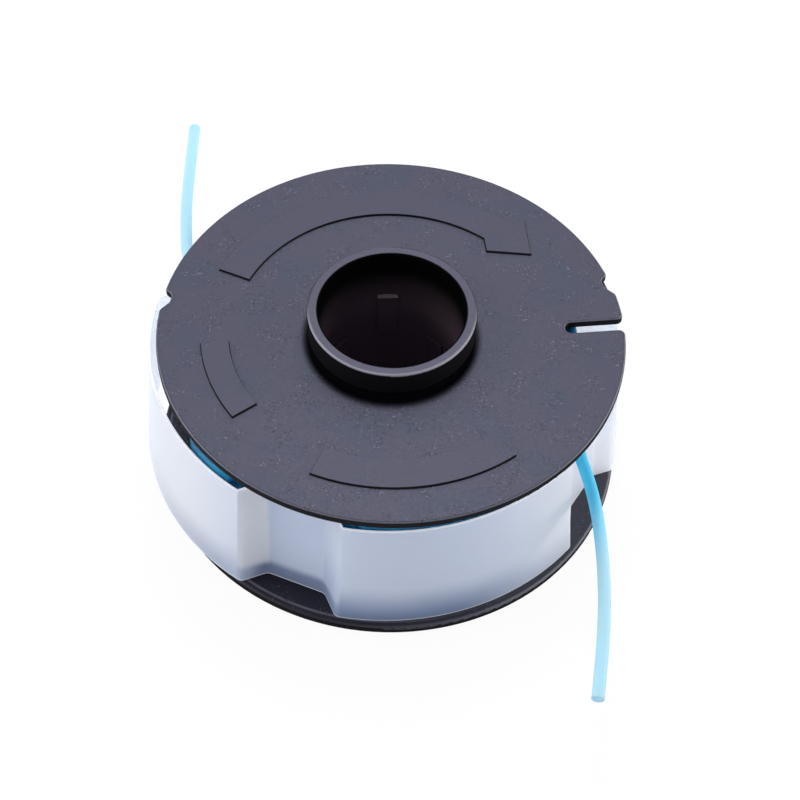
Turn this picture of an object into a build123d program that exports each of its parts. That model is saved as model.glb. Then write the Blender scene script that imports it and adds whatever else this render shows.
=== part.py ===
from build123d import *

import math
import os

# Trimmer line spool, in millimetres. The origin is the middle of the lower flange's underside, and +Z runs
# up the axis of the bore.

# Spool body
flange_diameter = 60.0
lower_flange_diameter = 61.2  # the foot stands out a little
upper_flange_thickness = 1.25
lower_flange_thickness = 2.0
flange_span = 24.3  # underside of the lower flange to the top face of the upper one
hub_diameter = 21.6
bore_diameter = 18.7  # at both mouths
throat_step = 0.25  # the bore is this much narrower in radius between its mouths
throat_lead = 2.5  # length of the slope from a mouth down to the throat
collar_height = 4.2  # hub tube above the upper flange
upper_rim_rounding = 0.35
lower_rim_rounding = 0.5
lower_foot_rounding = 1.3  # round the underside
collar_base_fillet = 0.35
collar_edge_rounding = 0.3

# Drive lugs in the bore, in two staggered rows
lug_count = 4
lug_width = 2.7
lug_rise = 0.7
lug_angle = 4.0  # first lug of the upper row
upper_lug_depth = 3.6  # flange top face to the lug's top
upper_lug_length = 7.0
lower_lug_depth = 9.8
lower_lug_length = 10.0

# Cuts in the rim of the upper flange
notch_angle = 18.8
notch_mirror_angle = 95.0  # the second notch is the mirror image of the first about this angle
notch_depth = 1.05
notch_floor_width = 1.2
notch_steep_run = 0.6
notch_ramp_run = 1.7
notch_rounding = 0.75
slot_width = 1.65
slot_start_radius = 22.3
slot_angle = 7.4
slot_side_offset = -1.425
slot_mouth_rounding = 0.8

# Stops under the rim of the upper flange, which keep the keeper down
stop_count = 2
stop_angle = 203.3
stop_sweep = 9.6
stop_thickness = 1.2
stop_drop = 1.75

# Line and winding
line_diameter = 1.6
winding_clearance = 0.38  # outermost turns to the keeper, where the slid clip comes nearest
turn_ridge_height = 0.4
line_exit_height = 13.3
groove_clearance = 0.05
bend_share = 0.45  # of a free end's shorter run, taken up by the bend at its end

# Keeper: a sprung clip with lobes under the rims and recesses against the winding
keeper_lobe_radius = 31.85
keeper_recess_depth = 3.35
keeper_wall = 0.4  # at the foot
keeper_lip = 0.2  # the same at the top edge, which the wall thins to
keeper_draft = 3.75  # degrees, wider at the bottom
keeper_top_clearance = 1.25  # under the stops
keeper_shift_x = -0.8  # how far the loose clip has slid
keeper_shift_y = 2.3
keeper_crest_rounding = 1.0
keeper_root_rounding = 1.2
exit_hole_width = 6.6
exit_hole_height = 2.8
split_width = 1.6

# Recesses of the keeper, in opposite pairs: the way the floor faces, where the floor starts and ends along
# itself, and the angles from its facing to the two sides of the mouth
plain_facing = 68.5
plain_floor = (-4.0, 4.0)
plain_mouth = (-12.05, 12.05)
exit_facing = 150.0
exit_floor = (-1.6, 7.4)
exit_mouth = (-7.5, 17.7)

# Values that follow from the sizes above
flange_radius = flange_diameter / 2
lower_flange_radius = lower_flange_diameter / 2
hub_radius = hub_diameter / 2
bore_radius = bore_diameter / 2
throat_radius = bore_radius - throat_step
hub_wall = hub_radius - bore_radius
upper_flange_base = flange_span - upper_flange_thickness
collar_top = flange_span + collar_height
upper_mouth_base = flange_span - upper_lug_depth
lower_mouth_top = flange_span - lower_lug_depth - lower_lug_length
slot_length = 2 * (flange_radius - slot_start_radius)
slot_mouth = Vector(flange_radius, slot_side_offset).rotate(Axis.Z, slot_angle)
winding_height = upper_flange_base - lower_flange_thickness
turn_rows = int(winding_height / line_diameter)
turn_pitch = winding_height / turn_rows
line_radius = line_diameter / 2
keeper_top = upper_flange_base - stop_drop - keeper_top_clearance
keeper_height = keeper_top - lower_flange_thickness
keeper_lean = keeper_height * math.tan(math.radians(keeper_draft))
keeper_floor = keeper_lobe_radius - keeper_recess_depth
keeper_slide = math.hypot(keeper_shift_x, keeper_shift_y)
keeper_inside = keeper_floor - keeper_lip - keeper_lean  # recess floors, at the narrow top
winding_radius = keeper_inside - keeper_slide - winding_clearance
keeper_plane = Plane((keeper_shift_x, keeper_shift_y, lower_flange_thickness))
exit_hole_offset = sum(exit_floor) / 2
recesses = [
    (facing + half_turn, floor, mouth)
    for half_turn in (0, 180)
    for facing, floor, mouth in ((plain_facing, plain_floor, plain_mouth), (exit_facing, exit_floor, exit_mouth))
]

# Routes of the two free ends: from the winding's outer turns, through the keeper, to the cut tips
front_route = [
    (23.00, 1.60, line_exit_height),
    (24.00, -7.80, line_exit_height),
    (26.55, -17.30, 13.2),
    (27.30, -27.60, 12.9),
    (27.05, -37.00, 12.4),
    (25.95, -45.80, 11.8),
]
rear_route = [
    (-23.10, 1.00, line_exit_height),
    (-25.05, 10.40, line_exit_height),
    (-28.30, 19.80, 13.2),
    (-29.50, 29.60, 12.9),
    (-29.70, 39.20, 12.4),
    (-29.75, 48.20, 11.8),
]


def polar(radius, angle):
    return Vector(radius, 0).rotate(Axis.Z, angle)


# A full circle's own seam is a vertex too, on the X axis, and is no corner
def off_the_seam(vertex):
    return abs(vertex.center().Y) > notch_depth


# One rim notch: steep on one side, a ramp on the other, laid along the rim at its own angle
def rim_notch(angle, ramp_side):
    floor = flange_radius - notch_depth
    outside = flange_radius + notch_depth
    half_floor = notch_floor_width / 2
    steep_foot = half_floor + 2 * notch_steep_run
    ramp_foot = half_floor + 2 * notch_ramp_run
    with Locations(Location((0, 0, 0), (0, 0, angle))):
        Polygon(
            (floor, -half_floor * ramp_side),
            (floor, half_floor * ramp_side),
            (outside, ramp_foot * ramp_side),
            (outside, -steep_foot * ramp_side),
            align=None,
            mode=Mode.SUBTRACT,
        )


# A row of lugs that stand in from the wall of the bore
def lug_row(depth, length, first_angle):
    reach = lug_rise + hub_wall / 2
    middle = bore_radius - lug_rise + reach / 2
    with BuildSketch(Plane.XY.offset(flange_span - depth - length)) as lugs:
        with PolarLocations(middle, lug_count, start_angle=first_angle):
            Rectangle(reach, lug_width)
    extrude(lugs.sketch, amount=length)


# Plan of the keeper at its base: lobes, and recesses with sloping sides and flat floors
def keeper_plan(inset):
    next_recesses = recesses[1:] + recesses[:1]
    with BuildLine() as outline:
        for (facing, floor, mouth), (next_facing, _, next_mouth) in zip(recesses, next_recesses):
            mouth_start, mouth_end = (polar(keeper_lobe_radius, facing + side) for side in mouth)
            floor_start, floor_end = (Vector(keeper_floor, end).rotate(Axis.Z, facing) for end in floor)
            lobe_sweep = (next_facing + next_mouth[0] - facing - mouth[1]) % 360
            Polyline(mouth_start, floor_start, floor_end, mouth_end)
            CenterArc((0, 0), keeper_lobe_radius, facing + mouth[1], lobe_sweep)
    plan = make_face(outline.edges())
    corner_count = 2 * len(recesses)
    roots = plan.vertices().sort_by(lambda vertex: vertex.center().length)[:corner_count]
    rooted = fillet(roots, radius=keeper_root_rounding)
    crests = rooted.vertices().sort_by(lambda vertex: vertex.center().length)[-corner_count:]
    fillet(crests, radius=keeper_crest_rounding)
    offset(amount=-inset, mode=Mode.REPLACE)


# The plane of a recess's floor, at the height where the line leaves
def recess_plane(facing):
    outward = polar(1, facing)
    middle = keeper_plane.origin + outward * keeper_floor
    return Plane((middle.X, middle.Y, line_exit_height), x_dir=(-outward.Y, outward.X, 0), z_dir=outward)


# Each bend of a free end is as wide as its two runs allow
def bend_radii(route):
    radii = []
    for before, corner, after in zip(route, route[1:], route[2:]):
        run_in = Vector(corner) - Vector(before)
        run_out = Vector(after) - Vector(corner)
        half_turn = math.radians(run_in.get_angle(run_out) / 2)
        radii.append(bend_share * min(run_in.length, run_out.length) / math.tan(half_turn))
    return radii


os.makedirs("parts", exist_ok=True)

with BuildPart() as spool_body:
    # Half section of the hub tube and the lower flange, with the bore's throat between its two mouths
    with BuildSketch(Plane.XZ):
        with BuildLine():
            Polyline(
                (bore_radius, 0),
                (lower_flange_radius, 0),
                (lower_flange_radius, lower_flange_thickness),
                (hub_radius, lower_flange_thickness),
                (hub_radius, collar_top),
                (bore_radius, collar_top),
                (bore_radius, upper_mouth_base),
                (throat_radius, upper_mouth_base - throat_lead),
                (throat_radius, lower_mouth_top + throat_lead),
                (bore_radius, lower_mouth_top),
                close=True,
            )
        make_face()
    revolve(axis=Axis.Z)
    for height, rounding in ((0, lower_foot_rounding), (lower_flange_thickness, lower_rim_rounding)):
        corner = Vector(lower_flange_radius, 0, height)
        lower_rim = spool_body.edges().filter_by(GeomType.CIRCLE).sort_by_distance(corner)[0]
        fillet(lower_rim, radius=rounding)

    # Upper flange, with its notches and the slot that the line is started in
    with BuildSketch(Plane.XY.offset(upper_flange_base)) as upper_outline:
        Circle(flange_radius)
        rim_notch(notch_angle, -1)
        rim_notch(2 * notch_mirror_angle - notch_angle, 1)
        fillet(upper_outline.vertices().filter_by(off_the_seam), radius=notch_rounding)
        with Locations(Location((0, 0, 0), (0, 0, slot_angle))):
            with Locations((slot_start_radius + slot_length / 2, slot_side_offset)):
                SlotOverall(slot_length, slot_width, mode=Mode.SUBTRACT)
        mouth_corners = upper_outline.vertices().sort_by_distance(slot_mouth)[:2]
        fillet(mouth_corners, radius=slot_mouth_rounding)
        Circle(bore_radius, mode=Mode.SUBTRACT)
    extrude(amount=upper_flange_thickness)
    flange_faces = spool_body.faces().filter_by(Plane.XY)
    for height in (flange_span, upper_flange_base):
        face = flange_faces.sort_by(lambda face: abs(face.center().Z - height))[0]
        fillet(face.outer_wire().edges(), radius=upper_rim_rounding)

    # Collar: a soft foot on the flange and rounded edges at its mouth
    foot_point = Vector(hub_radius, 0, flange_span)
    collar_foot = spool_body.edges().filter_by(GeomType.CIRCLE).sort_by_distance(foot_point)[0]
    fillet(collar_foot, radius=collar_base_fillet)
    fillet(spool_body.edges().group_by(Axis.Z)[-1], radius=collar_edge_rounding)

    # Stops under the upper rim, inside its rounding
    stop_outside = flange_radius - upper_rim_rounding
    with BuildSketch(Plane.XY.offset(upper_flange_base)):
        for index in range(stop_count):
            start = stop_angle - stop_sweep / 2 + index * 360 / stop_count
            with BuildLine():
                outer = CenterArc((0, 0), stop_outside, start, stop_sweep)
                inner = CenterArc((0, 0), stop_outside - stop_thickness, start, stop_sweep)
                Line(outer @ 0, inner @ 0)
                Line(outer @ 1, inner @ 1)
            make_face()
    extrude(amount=-stop_drop)

    # Drive lugs: the lower row stands between the upper ones
    lug_row(upper_lug_depth, upper_lug_length, lug_angle)
    lug_row(lower_lug_depth, lower_lug_length, lug_angle + 180 / lug_count)

spool_body.part.label = "spool_body"
export_step(spool_body.part, "parts/spool_body.step")

with BuildPart() as line_winding:
    # Section of the wound line: flat against the hub and the flanges, one ridge for each row of turns
    valley = winding_radius - turn_ridge_height
    with BuildSketch(Plane.XZ):
        with BuildLine():
            Polyline(
                (valley, upper_flange_base),
                (hub_radius, upper_flange_base),
                (hub_radius, lower_flange_thickness),
                (valley, lower_flange_thickness),
            )
            for row in range(turn_rows):
                low = lower_flange_thickness + row * turn_pitch
                ThreePointArc(
                    (valley, low),
                    (winding_radius, low + turn_pitch / 2),
                    (valley, low + turn_pitch),
                )
        make_face()
    revolve(axis=Axis.Z)

    # Grooves that the free ends lift out of
    for route in (front_route, rear_route):
        first_run = Vector(route[1]) - Vector(route[0])
        groove_start = Vector(route[0]) - first_run.normalized() * groove_clearance
        with BuildSketch(Plane(groove_start, z_dir=first_run)):
            Circle(line_radius + groove_clearance)
        extrude(amount=first_run.length, mode=Mode.SUBTRACT)

line_winding.part.label = "line_winding"
export_step(line_winding.part, "parts/line_winding.step")

with BuildPart() as line_keeper:
    # The drafted wall: the outside less the inside, each between its plans at the base and the top
    for foot_inset, top_inset, mode in ((0, 0, Mode.ADD), (keeper_wall, keeper_lip, Mode.SUBTRACT)):
        with BuildSketch(keeper_plane):
            keeper_plan(foot_inset)
        with BuildSketch(keeper_plane.offset(keeper_height)):
            keeper_plan(keeper_lean + top_inset)
        loft(ruled=True, mode=mode)

    # Holes for the two free ends, in opposite recesses, and the split that lets the clip open
    for facing in (exit_facing, exit_facing + 180):
        with BuildSketch(recess_plane(facing)):
            with Locations((exit_hole_offset, 0)):
                SlotOverall(exit_hole_width, exit_hole_height)
        extrude(amount=keeper_recess_depth, both=True, mode=Mode.SUBTRACT)
    with BuildSketch(recess_plane(plain_facing)):
        Rectangle(split_width, 2 * keeper_height)
    extrude(amount=keeper_recess_depth, both=True, mode=Mode.SUBTRACT)

line_keeper.part.label = "line_keeper"
export_step(line_keeper.part, "parts/line_keeper.step")

for name, route in (("line_end_front", front_route), ("line_end_rear", rear_route)):
    radii = bend_radii(route)
    with BuildPart() as line_end:
        with BuildLine() as path:
            FilletPolyline(*route, radius=radii)
        with BuildSketch(Plane(path.line @ 0, z_dir=path.line % 0)):
            Circle(line_radius)
        sweep()
    line_end.part.label = name
    export_step(line_end.part, f"parts/{name}.step")
    length = path.wires()[0].length
    expected = math.pi * line_radius**2 * length
    print(name, "radii", [round(radius, 1) for radius in radii], "length", round(length, 2))
    print(name, "volume", round(line_end.part.volume, 3), "expected", round(expected, 3))
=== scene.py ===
import math
from types import SimpleNamespace

import bmesh
import bpy
from mathutils import Matrix, Vector, noise
from mathutils.bvhtree import BVHTree


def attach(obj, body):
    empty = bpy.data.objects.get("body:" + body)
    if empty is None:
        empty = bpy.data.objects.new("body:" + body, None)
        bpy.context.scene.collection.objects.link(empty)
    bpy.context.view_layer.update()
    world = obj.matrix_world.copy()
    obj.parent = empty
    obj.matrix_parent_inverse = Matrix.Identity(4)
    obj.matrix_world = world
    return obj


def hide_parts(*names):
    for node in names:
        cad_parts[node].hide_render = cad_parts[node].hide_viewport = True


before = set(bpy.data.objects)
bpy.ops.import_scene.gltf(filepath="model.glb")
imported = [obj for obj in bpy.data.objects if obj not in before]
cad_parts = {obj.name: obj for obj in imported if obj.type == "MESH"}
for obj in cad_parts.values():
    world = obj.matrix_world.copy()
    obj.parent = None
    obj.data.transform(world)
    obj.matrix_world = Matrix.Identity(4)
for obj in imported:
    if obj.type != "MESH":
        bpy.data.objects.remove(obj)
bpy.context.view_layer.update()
mm = 0.001
usualNoise = (0.3, 0.7)  # most values of a noise lie between these
noiseMiddle = 0.5
print("frame loaded:", ", ".join(sorted(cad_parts)))


class Wire:  # a shader socket that takes part in sums
    def __init__(self, tree, socket=None):
        self.tree = tree
        self.socket = socket

    def add(self, kind, settings=None, sockets=None, out=0):  # any node: settings first, then its sockets
        node = self.tree.nodes.new("ShaderNode" + kind)
        for name, value in (settings or {}).items():
            setattr(node, name, value)
        for name, value in (sockets or {}).items():
            if isinstance(value, Wire):
                self.tree.links.new(value.socket, node.inputs[name])
            elif isinstance(value, tuple):  # a colour, which takes an alpha
                node.inputs[name].default_value = (*value, 1.0)
            else:
                node.inputs[name].default_value = value
        return Wire(self.tree, node.outputs[out] if node.outputs else None)

    def maths(self, operation, first, second=0.0):
        return self.add("Math", {"operation": operation}, {0: first, 1: second})

    def __add__(self, other):
        return self.maths("ADD", self, other)

    def __radd__(self, other):
        return self.maths("ADD", other, self)

    def __sub__(self, other):
        return self.maths("SUBTRACT", self, other)

    def __rsub__(self, other):
        return self.maths("SUBTRACT", other, self)

    def __mul__(self, other):
        return self.maths("MULTIPLY", self, other)

    def __rmul__(self, other):
        return self.maths("MULTIPLY", other, self)

    def __truediv__(self, other):
        return self.maths("DIVIDE", self, other)

    def __rtruediv__(self, other):
        return self.maths("DIVIDE", other, self)

    def larger(self, other):
        return self.maths("MAXIMUM", self, other)

    def ramp(self, low, high, start=0.0, end=1.0):  # eases from start to end between low and high
        sockets = {"Value": self, "From Min": low, "From Max": high, "To Min": start, "To Max": end}
        return self.add("MapRange", {"interpolation_type": "SMOOTHSTEP"}, sockets)

    def band(self, rise, full, fall, end):  # 1 from full to fall, 0 outside rise and end
        return self.ramp(rise, full) - self.ramp(fall, end)

    def mix(self, first, second):  # this value carries the first colour over to the second
        return self.add("Mix", {"data_type": "RGBA"}, {0: self, 6: first, 7: second}, out=2)

    def axis(self, name):
        return self.add("SeparateXYZ", {}, {"Vector": self}, out=name)

    def noise(self, size, detail=2.0, roughness=0.5):  # size is in millimetres
        sockets = {"Vector": self, "Scale": 1.0 / (size * mm), "Detail": detail, "Roughness": roughness}
        return self.add("TexNoise", {}, sockets)

    def spread(self, low, high):  # lays the usual values of a noise over a range
        return self.ramp(*usualNoise, low, high)

    def stray(self, size, amount):  # a noise about zero
        return (self.noise(size) - noiseMiddle) * amount

    def bump(self, depth, strength):  # depth is in millimetres
        return self.add("Bump", {}, {"Height": self, "Distance": depth * mm, "Strength": strength})

    def waves(self, size, depth, strength):  # soft bumps all over
        return self.noise(size).bump(depth, strength)


def newMaterial(name):
    material = bpy.data.materials.new(name)
    material.use_nodes = True
    material.node_tree.nodes.clear()
    return material, Wire(material.node_tree)


def close(tree, shader):
    tree.add("OutputMaterial", {}, {"Surface": shader})


def readPoint(tree):  # where a point lies, in millimetres, and which way it faces
    place = tree.add("TexCoord", out="Object")
    across, along, height = (place.axis(name) / mm for name in "XYZ")
    normal = tree.add("NewGeometry", out="Normal")
    return SimpleNamespace(place=place, across=across, along=along, height=height, normal=normal)


def fromAxis(across, along):  # distance from an upright axis
    return across.maths("SQRT", across * across + along * along)


def wear(piece, material):
    piece.data.materials.clear()
    piece.data.materials.append(material)


def putInScene(name, data):
    thing = bpy.data.objects.new(name, data)
    bpy.context.scene.collection.objects.link(thing)
    return thing


def newPiece(name, mesh, replaced=None):
    piece = putInScene(name, mesh)
    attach(piece, "root")
    if replaced:
        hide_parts(replaced)
    return piece


def polar(radius, degrees, height=0.0):
    angle = math.radians(degrees)
    return Vector((radius * math.cos(angle), radius * math.sin(angle), height))


def joinRings(build, ring, nextRing):  # closes the band between two rings
    for index in range(len(ring)):
        after = (index + 1) % len(ring)
        build.faces.new((ring[index], ring[after], nextRing[after], nextRing[index]))


def tube(build, points, radius, sides):  # sweeps a ring along the points
    rings = []
    for index, point in enumerate(points):
        ahead = points[min(index + 1, len(points) - 1)]
        behind = points[max(index - 1, 0)]
        along = (ahead - behind).normalized()
        side = Vector((0, 0, 1)).cross(along).normalized()
        up = along.cross(side)
        ring = []
        for step in range(sides):
            angle = 2 * math.pi * step / sides
            ring.append(build.verts.new(point + (side * math.cos(angle) + up * math.sin(angle)) * radius))
        rings.append(ring)
    for ring, nextRing in zip(rings, rings[1:]):
        joinRings(build, ring, nextRing)
    build.faces.new(rings[0][::-1])
    build.faces.new(rings[-1])


def lathe(build, profile, steps):  # turns a closed section round the axis
    columns = []
    for step in range(steps):
        degrees = 360 * step / steps
        columns.append([build.verts.new(polar(radius, degrees, height)) for radius, height in profile])
    for column, nextColumn in zip(columns, columns[1:] + columns[:1]):
        joinRings(build, column, nextColumn)


def meshFrom(build, name, smoothAngle):
    bmesh.ops.scale(build, vec=(mm, mm, mm), verts=build.verts)
    bmesh.ops.recalc_face_normals(build, faces=build.faces)
    mesh = bpy.data.meshes.new(name)
    build.to_mesh(mesh)
    build.free()
    mesh.shade_smooth()
    mesh.set_sharp_from_angle(angle=math.radians(smoothAngle))
    return mesh


# Camera

photoView = {
    "place": (0.0, -173.285, 228.989),
    "pitch": 0.901187,  # below the horizon, radians
    "yaw": 0.00826,
    "roll": -0.038347,
    "focalPixels": 2097.36,
    "imagePixels": 800,
    "sensorWidth": 36.0,
    "clipStart": 10.0,
}


def setCamera(view):
    data = bpy.data.cameras.new("photoCamera")
    data.sensor_width = view["sensorWidth"]
    data.lens = view["focalPixels"] / view["imagePixels"] * view["sensorWidth"]
    data.clip_start = view["clipStart"] * mm
    camera = putInScene("photoCamera", data)
    turn = Matrix.Rotation(-view["yaw"], 4, "Z") @ Matrix.Rotation(math.pi / 2 - view["pitch"], 4, "X")
    turn = turn @ Matrix.Rotation(-view["roll"], 4, "Z")
    camera.matrix_world = Matrix.Translation(Vector(view["place"]) * mm) @ turn
    bpy.context.scene.camera = camera


setCamera(photoView)
print("camera set")


# Free ends of the line

freeLine = {
    "diameter": 1.6,
    "ends": {
        "freeEndFront": {
            "node": "line_end_front",
            "length": 47.9,
            "route": [
                (23.00, 1.60, 13.3),
                (24.00, -7.80, 13.3),
                (26.55, -17.30, 13.2),
                (27.30, -27.60, 12.9),
                (27.05, -37.00, 12.4),
                (25.95, -45.80, 11.8),
            ],
        },
        "freeEndRear": {
            "node": "line_end_rear",
            "length": 48.0,
            "route": [
                (-23.10, 1.00, 13.3),
                (-25.05, 10.40, 13.3),
                (-28.30, 19.80, 13.2),
                (-29.50, 29.60, 12.9),
                (-29.70, 39.20, 12.4),
                (-29.75, 48.20, 11.8),
            ],
        },
    },
    "resolution": 24,
    "sides": 24,
    "capAngle": 50,  # the cut ends keep a crisp edge
    "shaded": (0.14, 0.75, 0.97),  # near the keeper
    "pale": (0.51, 0.77, 0.84),  # out in the light
    "frontShade": (14.0, 29.0),  # in front of the axis, from shaded to pale
    "rearShade": (8.0, 18.0),  # the same behind it
    "cloud": (4.0, 0.12),  # size and amount of its uneven colour
    "grain": 0.6,
    "roughness": (0.46, 0.54),
    "specular": 0.35,
    "waves": (2.2, 0.02, 0.3),  # size, depth and strength of its bumps
    "throughShare": 0.4,  # light that comes through the nylon
}


def lineEndMaterial(line):
    material, tree = newMaterial("freeLineBlue")
    place = tree.add("TexCoord", out="Object")
    along = place.axis("Y") / mm
    paleness = (0 - along).ramp(*line["frontShade"]) + along.ramp(*line["rearShade"])
    paleness = paleness + place.stray(*line["cloud"])
    colour = paleness.mix(line["shaded"], line["pale"])
    rough = place.noise(line["grain"]).spread(*line["roughness"])
    sockets = {"Base Color": colour, "Roughness": rough, "Specular IOR Level": line["specular"],
               "Normal": place.waves(*line["waves"])}
    face = tree.add("BsdfPrincipled", {}, sockets)
    through = tree.add("BsdfTranslucent", {}, {"Color": colour})
    close(tree, tree.add("MixShader", {}, {0: line["throughShare"], 1: face, 2: through}))
    return material


def smoothLine(route, resolution):  # points along the route's smooth curve
    curve = bpy.data.curves.new("guide", "CURVE")
    curve.dimensions = "3D"
    spline = curve.splines.new("NURBS")
    spline.points.add(len(route) - 1)
    for point, place in zip(spline.points, route):
        point.co = (*place, 1.0)
    spline.order_u = 3
    spline.use_endpoint_u = True
    curve.resolution_u = resolution
    guide = bpy.data.objects.new("guide", curve)
    mesh = bpy.data.meshes.new_from_object(guide)
    points = [vertex.co.copy() for vertex in mesh.vertices]
    bpy.data.objects.remove(guide)
    bpy.data.curves.remove(curve)
    bpy.data.meshes.remove(mesh)
    return points


def layEnd(name, end, line, material):
    points = smoothLine(end["route"], line["resolution"])
    build = bmesh.new()
    tube(build, points, line["diameter"] / 2, line["sides"])
    piece = newPiece(name, meshFrom(build, name, line["capAngle"]), end["node"])
    wear(piece, material)
    end["length"] * mm
    line["diameter"] * mm


lineEndBlue = lineEndMaterial(freeLine)
for endName, endOfLine in freeLine["ends"].items():
    layEnd(endName, endOfLine, freeLine, lineEndBlue)
print("free ends laid")


# Wound line

woundLine = {
    "rows": 13,
    "low": 2.0,  # top of the lower flange
    "high": 23.05,  # underside of the upper flange
    "hub": 10.8,
    "outside": 24.3,
    "diameter": 1.6,
    "stepsPerTurn": 120,
    "sides": 14,
    "startAngle": 100.0,
    "wander": 0.10,  # how unevenly the turns lie
    "drift": (1.7, 3.1, 0.4),  # pace and seed of the wander outwards
    "lift": (2.3, 8.7, 1.9),  # the same upwards
    "springHeights": (14.9, 18.2, 19.8, 21.6),  # the turns spring out to the keeper between these
    "springAngles": (204.0, 213.0, 297.0, 308.0),
    "wallClearance": 0.12,
    "wallTop": 19.8,  # height at which the keeper's wall is felt by the turns above it
    "feelAngles": (-5.0, -2.5, 0.0, 2.5, 5.0),  # to each side, where a turn feels the wall
    "dip": 1.75,  # how far the turns dip under the free ends
    "dipHeights": (11.0, 15.6),
    "dipRise": 1.0,  # height over which a dip deepens
    "dipAngles": ((-24.0, 9.0), (156.0, 189.0)),
    "dipRun": 10.0,  # degrees over which it deepens
    "coreDepth": 0.75,  # of a diameter, from the outside of the dipped turns to the core
    "coreSteps": 96,
    "smoothAngle": 50,
    "colour": (0.003, 0.15, 0.32),
    "glint": (0.008, 0.24, 0.46),
    "streakSize": 3.0,
    "streakSpan": (0.35, 0.65),
    "grain": 0.5,
    "roughness": (0.44, 0.58),
    "specular": 0.3,
    "waves": (0.8, 0.01, 0.3),  # size, depth and strength of its bumps
}


def windingMaterial(line):
    material, tree = newMaterial("woundLineBlue")
    place = tree.add("TexCoord", out="Object")
    streak = place.noise(line["streakSize"]).ramp(*line["streakSpan"])
    rough = place.noise(line["grain"]).spread(*line["roughness"])
    sockets = {"Base Color": streak.mix(line["colour"], line["glint"]), "Roughness": rough,
               "Specular IOR Level": line["specular"], "Normal": place.waves(*line["waves"])}
    close(tree, tree.add("BsdfPrincipled", {}, sockets))
    return material


def ease(value, low, high):
    share = min(1.0, max(0.0, (value - low) / (high - low)))
    return share * share * (3 - 2 * share)


def window(value, rise, full, fall, end):  # 0 outside, 1 inside
    return ease(value, rise, full) - ease(value, fall, end)


def wallReach(walls, degrees, height, line):  # how far out the middle of a turn can go at this angle
    start = Vector((0, 0, min(height, line["wallTop"]) * mm))
    reach = []
    for angle in line["feelAngles"]:
        distance = walls.ray_cast(start, polar(1.0, degrees + angle))[3]
        if distance:  # none where the ring is split
            reach.append(distance / mm)
    return min(reach) - line["diameter"] / 2 - line["wallClearance"]


def dipUnder(degrees, height, line):  # 1 where a free end lies over the turns
    low, high = line["dipHeights"]
    rise, run = line["dipRise"], line["dipRun"]
    turn = (degrees + 90) % 360 - 90  # counted on from the front
    share = sum(window(turn, first, first + run, last - run, last) for first, last in line["dipAngles"])
    return share * window(height, low, low + rise, high - rise, high)


def wander(share, pace, *seed):  # smooth unevenness along the line, about zero
    return noise.noise(Vector((share * pace, *seed)))


def turns(line, walls):
    radius = line["diameter"] / 2
    pitch = (line["high"] - line["low"]) / line["rows"]
    rest = line["outside"] - radius - line["wander"]
    points = []
    for step in range((line["rows"] - 1) * line["stepsPerTurn"] + 1):
        share = step / line["stepsPerTurn"]
        degrees = line["startAngle"] + 360 * share
        drift = wander(share, *line["drift"]) * line["wander"]
        lift = wander(share, *line["lift"]) * line["wander"]
        height = line["low"] + pitch * (share + 0.5) + lift
        out = rest + drift - line["dip"] * dipUnder(degrees, height, line)
        spring = window(height, *line["springHeights"]) * window(degrees % 360, *line["springAngles"])
        if spring > 0:
            out += (max(out, wallReach(walls, degrees, height, line)) - out) * spring
        points.append(polar(out, degrees, height))
    return points


def windLine(line, keeper, material):
    walls = BVHTree.FromObject(keeper, bpy.context.evaluated_depsgraph_get())
    build = bmesh.new()
    tube(build, turns(line, walls), line["diameter"] / 2, line["sides"])
    hub, low, high = line["hub"], line["low"], line["high"]
    core = line["outside"] - line["diameter"] * line["coreDepth"] - line["dip"]
    lathe(build, [(hub, low), (core, low), (core, high), (hub, high)], line["coreSteps"])
    mesh = meshFrom(build, "windingTurns", line["smoothAngle"])
    wear(newPiece("windingTurns", mesh, "line_winding"), material)


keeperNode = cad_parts["line_keeper"]
windLine(woundLine, keeperNode, windingMaterial(woundLine))
print("line wound")


# Black spool

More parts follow.
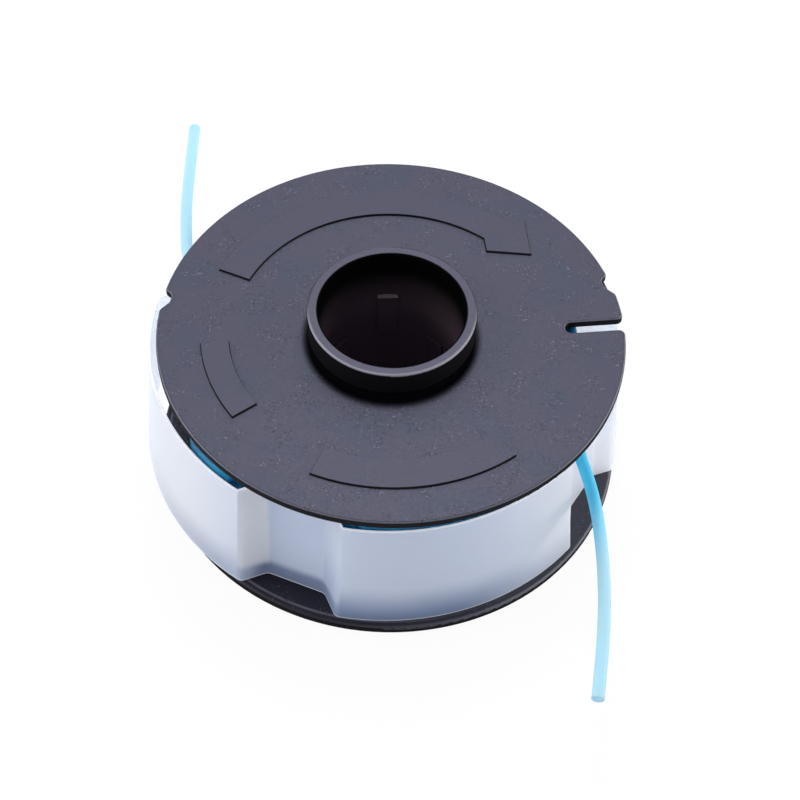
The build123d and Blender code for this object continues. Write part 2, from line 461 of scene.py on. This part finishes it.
spoolPlastic = {
    "levelFrom": (0.55, 0.97),  # upward part of the normal, from a wall to a level face
    "uprightTo": (0.3, 0.6),  # the same, up to where a wall ends
    "behindFrom": (-6.0, 2.0),  # along Y, from the front of the collar to its back
    "top": (0.029, 0.027, 0.045),  # faces that look up, painted lighter as the side the light falls on
    "bluish": (0.022, 0.027, 0.043),  # patches on them
    "patch": (6.0, 3.0),  # size and detail
    "patchSpan": (0.48, 0.66),
    "ring": (0.044, 0.041, 0.062),  # top of the collar
    "ringFrom": (27.5, 28.4),
    "wall": (0.004, 0.0035, 0.0045),  # upright faces, painted near black as the shaded side
    "low": (0.007, 0.0055, 0.011),  # top of the lower flange, painted darker for the shade it lies in
    "lowTo": (2.2, 3.2),
    "dusty": (0.036, 0.036, 0.046),  # the same, painted lighter on the right, where more light falls
    # across the axis, from the shaded left to the painted light on the right
    "dustFrom": (-10.0, 22.0),
    "edge": (0.10, 0.098, 0.12),  # painted highlight on the roundings
    "rounding": (0.45, 0.65, 0.82, 0.97),  # upward part of their normal
    "roundingFrom": (3.0, 4.0),  # heights, below which the painted highlight shows only on the right, where more light falls
    "collarFrom": (27.0, 27.6),
    "lowRimHighlight": (29.4, 29.6, 29.75, 29.95),  # painted highlight line near the rim of the lower flange
    "collarHighlight": (0.22, 0.215, 0.24),  # painted highlight along the front edge of the collar
    "collarEdgeRadius": (10.45, 10.6),
    "collarEdgeHeight": (28.22, 28.36),
    "boreRadius": (9.5, 9.7),
    # painted shade in the bore: near black towards its mouth, lighter deeper down
    "boreMouthShade": (0.002, 0.002, 0.002),
    "boreDeep": (0.11, 0.078, 0.10),
    "boreDepth": (17.0, 26.0),  # heights, from deep to mouth
    "lugTop": (0.30, 0.27, 0.26),  # the upper lugs catch the light
    "lugHeights": (18.0, 20.0, 21.5, 22.5),
    # painted shadow round the foot of the collar
    "collarShadow": (0.002, 0.002, 0.003),
    "collarFootShadow": (10.6, 11.9),  # radii over which the painted shadow round the collar's foot clears
    "collarFootHeights": (24.0, 24.1, 25.0, 25.4),
    "collarShadowShift": 1.0,  # the painted shadow lies a little further out in front, where the shadow falls
    "cluster": 2.6,  # size of the groups that the specks lie in
    "clusterSpan": (0.42, 0.62),
    "speck": (0.26, 1.0),  # size and detail
    "glint": (0.13, 0.13, 0.17),
    "glintSpan": (0.66, 0.74),
    "pit": (0.010, 0.009, 0.015),
    "pitSpan": (0.60, 0.70),
    "signFrom": (24.35, 24.45),
    "signShine": 0.7,  # the raised signs are smoother than the face
    "grain": (0.14, 3.0, 0.6),  # size, detail and roughness
    "grainShare": 0.5,  # beside the specks, in the relief
    "relief": (0.02, 0.5),  # depth and strength
    "roughness": (0.44, 0.60),
    "sheen": (0.86, 0.87, 1.0),
    "uprightMatt": 0.75,
}


def levelColour(at, look):  # faces that look up, from the lower flange to the collar, painted lighter than the walls as the lit side
    patch = at.place.noise(*look["patch"]).ramp(*look["patchSpan"])
    low = at.dust.mix(look["low"], look["dusty"])
    top = at.aboveLow.mix(low, patch.mix(look["top"], look["bluish"]))
    return at.height.ramp(*look["ringFrom"]).mix(top, look["ring"])


def edgeWear(at, look):  # 1 where a painted highlight lies on an edge
    shown = at.height.ramp(*look["roundingFrom"]).larger(at.dust)
    collarBack = at.height.ramp(*look["collarFrom"]) * at.behind
    lowRimHighlight = at.out.band(*look["lowRimHighlight"]) * (1 - at.aboveLow) * at.level * (1 - at.dust)
    return at.upward.band(*look["rounding"]) * shown * (1 - collarBack) + lowRimHighlight


def outsideColour(at, look):
    # painted light and shade: level faces lighter, upright walls near black
    plain = at.level.mix(look["wall"], levelColour(at, look))
    # painted highlight along the collar's front edge
    collarHighlight = at.out.ramp(*look["collarEdgeRadius"]) * at.height.ramp(*look["collarEdgeHeight"])
    collarHighlight = collarHighlight * (1 - at.behind)
    return collarHighlight.mix(edgeWear(at, look).mix(plain, look["edge"]), look["collarHighlight"])


# painted shade in the bore, with painted highlights on the tops of the upper lugs
def boreColour(at, look):
    lug = at.level * at.height.band(*look["lugHeights"])
    wall = at.height.ramp(*look["boreDepth"]).mix(look["boreDeep"], look["boreMouthShade"])
    return lug.mix(wall, look["lugTop"])


def specks(at, look):  # glints and pits, in clusters on the level faces
    onSign = at.height.ramp(*look["signFrom"]) * look["signShine"]
    cluster = at.place.noise(look["cluster"]).ramp(*look["clusterSpan"]) * at.level * (1 - onSign)
    speck = at.place.noise(*look["speck"])
    return speck.ramp(*look["glintSpan"]) * cluster, (1 - speck).ramp(*look["pitSpan"]) * cluster


def collarFootShadow(at, look):  # 1 where painted shadow lies round the foot of the collar
    out = fromAxis(at.across, at.along + look["collarShadowShift"])
    return (1 - out.ramp(*look["collarFootShadow"])) * at.height.band(*look["collarFootHeights"])


def spoolMaterial(look):
    material, tree = newMaterial("spoolBlack")
    at = readPoint(tree)
    at.out = fromAxis(at.across, at.along)
    at.upward = at.normal.axis("Z")
    at.level = at.upward.ramp(*look["levelFrom"])
    # painted light on the right of the lower flange
    at.dust = at.across.ramp(*look["dustFrom"])
    at.behind = at.along.ramp(*look["behindFrom"])
    at.aboveLow = at.height.ramp(*look["lowTo"])

    bore = 1 - at.out.ramp(*look["boreRadius"])
    inside = boreColour(at, look)
    ground = bore.mix(outsideColour(at, look), inside)
    glint, pit = specks(at, look)
    colour = glint.mix(pit.mix(ground, look["pit"]), look["glint"])
    grain = at.place.noise(*look["grain"])
    relief = grain * look["grainShare"] + glint - pit
    sockets = {"Base Color": colour, "Roughness": grain.spread(*look["roughness"]),
               "Specular Tint": look["sheen"], "Normal": relief.bump(*look["relief"])}
    plastic = tree.add("BsdfPrincipled", {}, sockets)

    # painted shadow round the collar's foot and painted shade in the bore, given a matt finish
    foot = collarFootShadow(at, look)
    upright = (1 - at.upward.ramp(*look["uprightTo"])) * look["uprightMatt"]
    dull = bore.mix(foot.mix(look["wall"], look["collarShadow"]), inside)
    matt = tree.add("BsdfDiffuse", {}, {"Color": dull})
    close(tree, tree.add("MixShader", {}, {0: foot.larger(bore).larger(upright), 1: plastic, 2: matt}))
    return material


spoolBlack = spoolMaterial(spoolPlastic)
wear(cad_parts["spool_body"], spoolBlack)
print("spool finished")


# Raised arrow and bare plates on the upper flange

signs = {
    "faceHeight": 24.3,  # top of the upper flange
    "rise": 0.32,
    "sunk": 0.05,
    "draft": 0.10,  # how far the sides lean in
    "slope": 0.05,  # size of the rounding round the top
    "slopeMiddle": (0.4, 0.3),  # shares of it, inwards and down from the top
    "smoothAngle": 20,
    "arcStep": 2.0,  # degrees
    "arrow": {"inner": 20.1, "outer": 24.6, "tail": 157.8, "necks": (54.0, 50.0), "tip": (22.74, 37.0),
              "barbs": ((18.55, 49.1), (26.44, 49.1))},
    "plates": {"frontPlate": (20.6, 25.05, -112.1, -50.9), "leftPlate": (20.7, 24.45, 187.5, 218.0)},
}


def arc(radius, start, end, step):
    count = max(1, round(abs(end - start) / step))
    return [polar(radius, start + (end - start) * index / count) for index in range(count + 1)]


def arrowOutline(arrow, step):
    innerNeck, outerNeck = arrow["necks"]
    innerBarb, outerBarb = arrow["barbs"]
    inner = arc(arrow["inner"], arrow["tail"], innerNeck, step)
    outer = arc(arrow["outer"], outerNeck, arrow["tail"], step)
    return inner + [polar(*innerBarb), polar(*arrow["tip"]), polar(*outerBarb)] + outer


def plateOutline(inner, outer, start, end, step):
    return arc(outer, start, end, step) + arc(inner, end, start, step)


def inset(points, amount, sharpest=0.4):  # moves each corner of a closed outline inwards
    area = sum(a.x * b.y - b.x * a.y for a, b in zip(points, points[1:] + points[:1]))
    turn = 1 if area > 0 else -1
    moved = []
    for index, point in enumerate(points):
        before = (point - points[index - 1]).normalized()
        after = (points[(index + 1) % len(points)] - point).normalized()
        inwards = (Vector((-before.y, before.x, 0)) + Vector((-after.y, after.x, 0))) * turn
        inwards = inwards / max(sharpest, 1 + before.dot(after))
        moved.append(point + inwards * amount)
    return moved


def raisedSign(name, outline, look, material):
    build = bmesh.new()
    face, slope = look["faceHeight"], look["slope"]
    top = face + look["rise"]
    brow = inset(outline, look["draft"])
    inwards, down = (share * slope for share in look["slopeMiddle"])
    levels = [
        (outline, face - look["sunk"]),
        (outline, face),
        (brow, top - slope),
        (inset(brow, inwards), top - down),
        (inset(brow, slope), top),
    ]
    rings = [[build.verts.new((point.x, point.y, height)) for point in points] for points, height in levels]
    for ring, nextRing in zip(rings, rings[1:]):
        joinRings(build, ring, nextRing)
    ends = [build.faces.new(rings[0]), build.faces.new(rings[-1])]
    bmesh.ops.triangulate(build, faces=ends)
    wear(newPiece(name, meshFrom(build, name, look["smoothAngle"])), material)


raisedSign("windArrow", arrowOutline(signs["arrow"], signs["arcStep"]), signs, spoolBlack)
for plateName, plateSize in signs["plates"].items():
    raisedSign(plateName, plateOutline(*plateSize, signs["arcStep"]), signs, spoolBlack)
print("signs raised")


# Milky keeper

keeperPlastic = {
    "middle": (-0.8, 2.3),  # the ring sits a little to the left of the axis and behind it
    "foot": 2.0,
    "top": 20.05,
    "lean": 1.18,  # how far the wall leans in, foot to top
    "recessRadius": (29.0, 31.25),  # at the foot, from the recess floors to the lobes
    "cloud": (6.0, 1.2),  # size and amount by which the shading strays in height
    "milky": (0.90, 0.92, 0.95),
    "frontLobeShade": (0.82, 0.88, 0.98),  # the lobes in front, painted darker and bluer for the shade they lie in
    "frontFrom": (18.0, 30.0),
    "rearLobeShade": (0.79, 0.81, 0.82),  # the lobes behind, painted darker against the strong light from behind
    "rearFrom": (6.0, 18.0),
    # painted shade at the foot of the lobes
    "lobeFootShade": (0.31, 0.40, 0.60),
    "lobeFootTo": (0.0, 7.0),  # heights over which the painted shade at the foot of a lobe clears
    "lobeFootAhead": (8.0, 27.0, 0.1, 1.0),  # from the sides to the front, and its share at each end
    "lobeFootLeft": (-17.0, -8.0, 0.5, 1.0),  # across the axis, and its share at each end
    "lobeFootRight": (8.0, 22.0, 1.0, 0.3),
    "recessShade": (0.73, 0.80, 0.93),  # inside the recesses, painted darker and bluer for their shade
    # painted darker still behind, and paler on the right
    "rearRecessShade": (0.66, 0.70, 0.76),
    "rightRecessLight": (0.84, 0.86, 0.92),
    "rightFrom": (0.0, 15.0),  # the recesses on the right are painted pale, where the light from the right falls
    # painted shade at the foot of the recesses
    "recessFoot": (0.32, 0.39, 0.57),
    "recessFootTo": (1.7, 3.4),
    "litSide": (0.97, 0.98, 1.0),  # sides of the recesses, by the way they face round the ring
    "dimSide": (0.73, 0.80, 0.91),
    "dimSideFoot": (0.58, 0.66, 0.82),
    "dimSideFootTo": (2.0, 14.0),
    "sideFrom": (0.15, 0.6),  # part of the normal that faces round the ring
    "edgeLine": 0.20,
    # painted highlight along the top and bottom edges
    "edgeWhite": (0.96, 0.97, 0.98),
    "edgeGlow": (0.34, 0.35, 0.37),  # painted glow: light that the wall carries to its edges, given as emission
    "insideGlow": (0.46, 0.46, 0.48),  # painted glow: light that comes through to the inside of the wall, given as emission
    "insideFrom": (0.2, 0.6),  # part of the normal that faces the axis
    "insideAhead": (4.0, 14.0),  # the glow ends here, towards the front
    "noGlow": (0.0, 0.0, 0.0),
    "grain": 0.8,
    "roughness": (0.34, 0.46),
    "specular": 0.15,
    "waves": (2.5, 0.02, 0.25),  # size, depth and strength of its bumps
    "throughShare": 0.40,  # light that comes through the wall
    "edgeRounding": 0.08,
    "edgeSteps": 2,
    "edgeAngle": 55,
}


# painted shade: darker at the foot of the lobes, and on the lobes in front and behind
def lobeColour(at, look):
    shade = (1 - at.cloud.ramp(*look["lobeFootTo"])) * at.ahead.ramp(*look["lobeFootAhead"])
    shade = shade * at.across.ramp(*look["lobeFootLeft"]) * at.across.ramp(*look["lobeFootRight"])
    plain = at.ahead.ramp(*look["frontFrom"]).mix(look["milky"], look["frontLobeShade"])
    return shade.mix(at.rear.mix(plain, look["rearLobeShade"]), look["lobeFootShade"])


# painted shade in the recesses, darkest at their foot
def recessColour(at, look):
    haze = at.rear.mix(at.right.mix(look["recessShade"], look["rightRecessLight"]), look["rearRecessShade"])
    return at.recessFoot.mix(haze, look["recessFoot"])


def wallColour(at, look):
    out = at.ring + at.height * (look["lean"] / at.tall)
    recess = 1 - out.ramp(*look["recessRadius"])
    turn = (at.normal.axis("Y") * at.across - at.normal.axis("X") * at.along) / at.ring
    turnedBack = (0 - turn).ramp(*look["sideFrom"])
    litSide = (turn.ramp(*look["sideFrom"]) + turnedBack * at.right) * (1 - at.recessFoot)
    dimSide = turnedBack * (1 - at.right) * (1 - at.recessFoot)
    shadow = at.cloud.ramp(*look["dimSideFootTo"]).mix(look["dimSideFoot"], look["dimSide"])
    plain = recess.mix(lobeColour(at, look), recessColour(at, look))
    return dimSide.mix(litSide.mix(plain, look["litSide"]), shadow)


def insideShare(at, look):  # 1 on the inside of the wall, except in front, where the painted glow lies
    inward = 0 - (at.normal.axis("X") * at.across + at.normal.axis("Y") * at.along) / at.ring
    return inward.ramp(*look["insideFrom"]) * (1 - at.ahead.ramp(*look["insideAhead"]))


def keeperMaterial(look):
    material, tree = newMaterial("keeperMilky")
    at = readPoint(tree)
    middleAcross, middleAlong = look["middle"]
    at.across = at.across - middleAcross
    at.along = at.along - middleAlong
    at.ahead = 0 - at.along
    at.height = at.height - look["foot"]
    at.tall = look["top"] - look["foot"]
    at.ring = fromAxis(at.across, at.along)
    at.cloud = at.height + at.place.stray(*look["cloud"])
    at.rear = at.along.ramp(*look["rearFrom"])
    at.right = at.across.ramp(*look["rightFrom"])
    # painted shade at the foot of the recesses on the left and front
    at.recessFoot = (1 - at.cloud.ramp(*look["recessFootTo"])) * (1 - at.right)

    # painted highlight and painted glow along the top and bottom edges
    edge = 1 - at.height.ramp(0.0, look["edgeLine"]) + at.height.ramp(at.tall - look["edgeLine"], at.tall)
    colour = edge.mix(wallColour(at, look), look["edgeWhite"])
    glow = edge.mix(insideShare(at, look).mix(look["noGlow"], look["insideGlow"]), look["edgeGlow"])
    rough = at.place.noise(look["grain"]).spread(*look["roughness"])
    sockets = {"Base Color": colour, "Roughness": rough, "Specular IOR Level": look["specular"],
               "Normal": at.place.waves(*look["waves"]), "Emission Color": glow, "Emission Strength": 1.0}
    face = tree.add("BsdfPrincipled", {}, sockets)
    through = tree.add("BsdfTranslucent", {}, {"Color": colour})
    close(tree, tree.add("MixShader", {}, {0: look["throughShare"], 1: face, 2: through}))
    return material


def softenEdges(piece, look):
    rounding = piece.modifiers.new("softEdges", "BEVEL")
    rounding.width = look["edgeRounding"] * mm
    rounding.segments = look["edgeSteps"]
    rounding.limit_method = "ANGLE"
    rounding.angle_limit = math.radians(look["edgeAngle"])
    rounding.harden_normals = True


wear(keeperNode, keeperMaterial(keeperPlastic))
softenEdges(keeperNode, keeperPlastic)
print("keeper finished")


# Studio, in metres

studio = {
    "floorSize": 3.0,
    "floorColour": (0.84, 0.85, 0.88),
    "shadowShare": 0.05,  # how much of the object's shadow the white floor keeps
    "worldColour": (0.86, 0.90, 1.0),
    "worldStrength": 0.32,
    "white": (1.0, 1.0, 1.0),
    "lamps": {
        "overhead": {"place": (0.0, 0.19, 0.47), "size": 0.12, "power": 1.3, "colour": (0.88, 0.90, 1.0)},
        "backPanel": {"place": (0.0, 0.46, 0.40), "size": 0.46, "power": 0.85, "colour": (0.84, 0.86, 1.0)},
        "leftPanel": {"place": (-0.42, 0.00, 0.20), "size": 0.36, "power": 1.68, "colour": (1.0, 0.97, 0.93)},
        "rightPanel": {"place": (0.42, 0.08, 0.12), "size": 0.34, "power": 1.9, "colour": (1.0, 0.97, 0.93)},
        "frontPanel": {"place": (0.0, -0.50, 0.14), "size": 0.40, "power": 0.5, "colour": (1.0, 0.98, 0.97)},
    },
    "aim": (0.0, 0.0, 0.015),
}


def layFloor(look):
    build = bmesh.new()
    bmesh.ops.create_grid(build, x_segments=1, y_segments=1, size=look["floorSize"] / 2)
    mesh = bpy.data.meshes.new("paleFloor")
    build.to_mesh(mesh)
    build.free()
    floor = putInScene("paleFloor", mesh)
    material, tree = newMaterial("paleFloor")
    matt = tree.add("BsdfDiffuse", {}, {"Color": look["floorColour"]})
    white = tree.add("Emission", {}, {"Color": look["white"], "Strength": 1.0})
    seen = tree.add("LightPath", out="Is Camera Ray")
    close(tree, tree.add("MixShader", {}, {0: seen * (1 - look["shadowShare"]), 1: matt, 2: white}))
    wear(floor, material)


def lightWorld(look):
    world = bpy.data.worlds.new("studioAir")
    bpy.context.scene.world = world
    world.use_nodes = True
    world.node_tree.nodes.clear()
    tree = Wire(world.node_tree)
    soft = tree.add("Background", {}, {"Color": look["worldColour"], "Strength": look["worldStrength"]})
    white = tree.add("Background", {}, {"Color": look["white"], "Strength": 1.0})
    seen = tree.add("LightPath", out="Is Camera Ray")
    tree.add("OutputWorld", {}, {"Surface": tree.add("MixShader", {}, {0: seen, 1: soft, 2: white})})


def hangLamp(name, look, aim):
    data = bpy.data.lights.new(name, "AREA")
    data.size = look["size"]
    data.energy = look["power"]
    data.color = look["colour"]
    lamp = putInScene(name, data)
    lamp.location = look["place"]
    lamp.rotation_euler = (Vector(aim) - lamp.location).to_track_quat("-Z", "Y").to_euler()


layFloor(studio)
lightWorld(studio)
for lampName, lampLook in studio["lamps"].items():
    hangLamp(lampName, lampLook, studio["aim"])
bpy.context.scene.view_settings.view_transform = "Standard"
print("studio lit")
